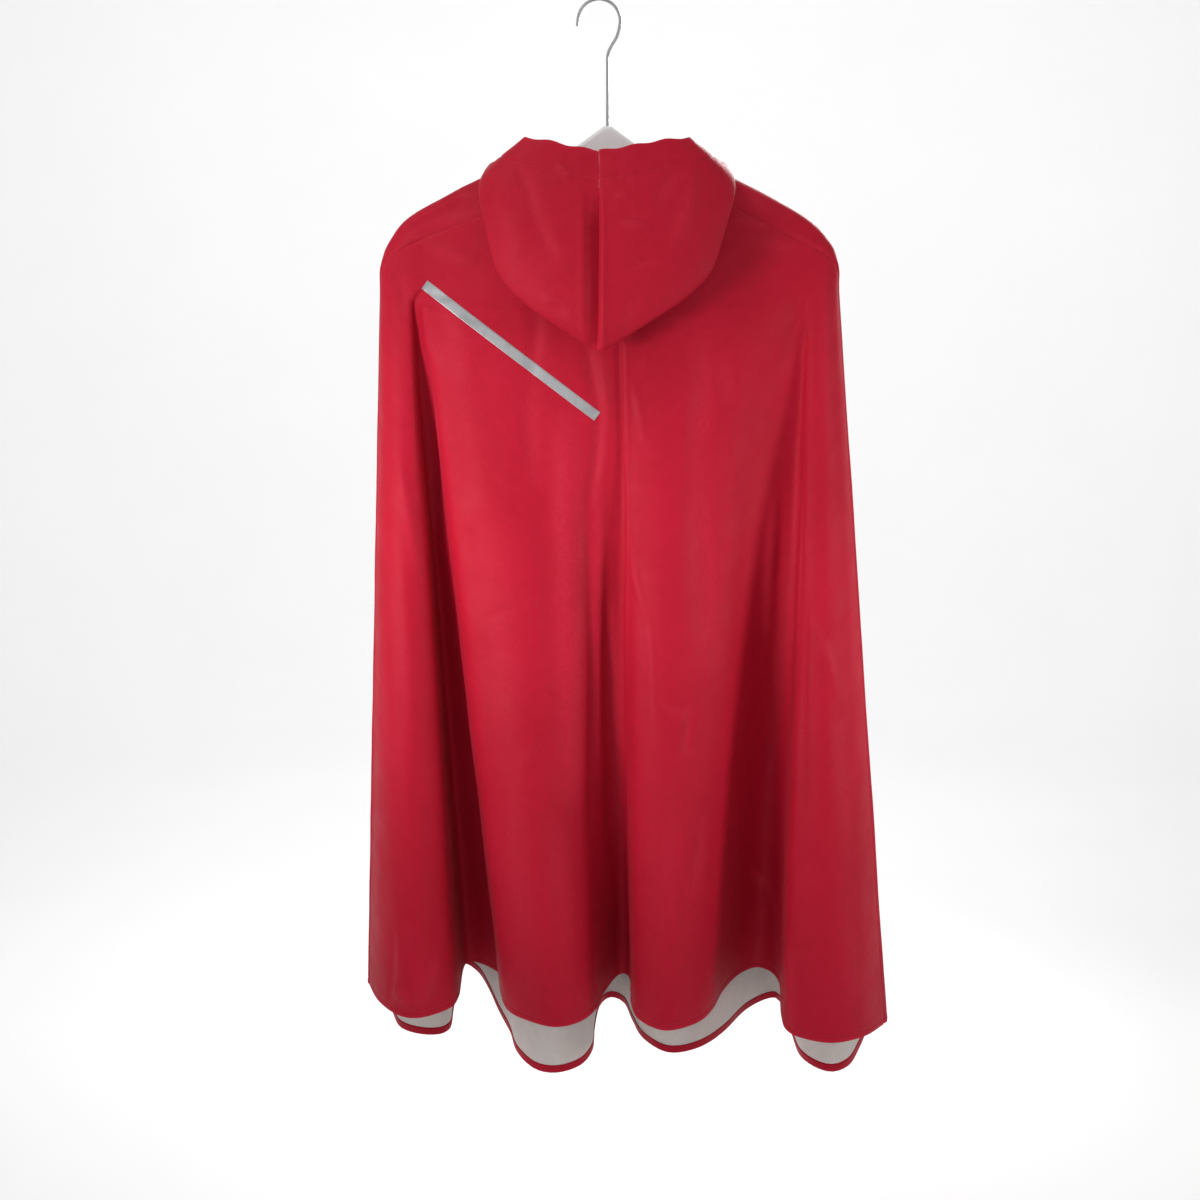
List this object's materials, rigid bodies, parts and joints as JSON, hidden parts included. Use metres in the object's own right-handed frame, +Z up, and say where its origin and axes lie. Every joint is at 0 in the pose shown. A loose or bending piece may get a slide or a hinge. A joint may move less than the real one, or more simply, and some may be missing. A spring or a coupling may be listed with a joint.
{
  "type": "hooded rain cape on a hanger",
  "caption": "Sleeveless rain cape with a hood, wide soft folds and a reflective strip, hanging on a flat hanger with a wire hook.",
  "frame": {"origin": "inside of the hook's arc at its top, where a rail carries the hanger", "axes": "+Z up, -Y the way the back of the cape faces, which is the pictured side, +X to the right in the picture"},
  "size_m": [0.6066, 0.2531, 1.1842],
  "materials": {
    "coated_cloth": "smooth coated, soft sheen",
    "reflective_tape": "silver grey, fine glass beads",
    "white_hanger": "matte",
    "steel_wire": "satin"
  },
  "bodies": {
    "root": {"back_left": "coated_cloth", "back_right": "coated_cloth", "front": "coated_cloth", "hood_left": "coated_cloth", "hood_right": "coated_cloth", "reflective_strip": "reflective_tape", "hanger": "white_hanger", "hook": "steel_wire"}
  },
  "joints": []
}
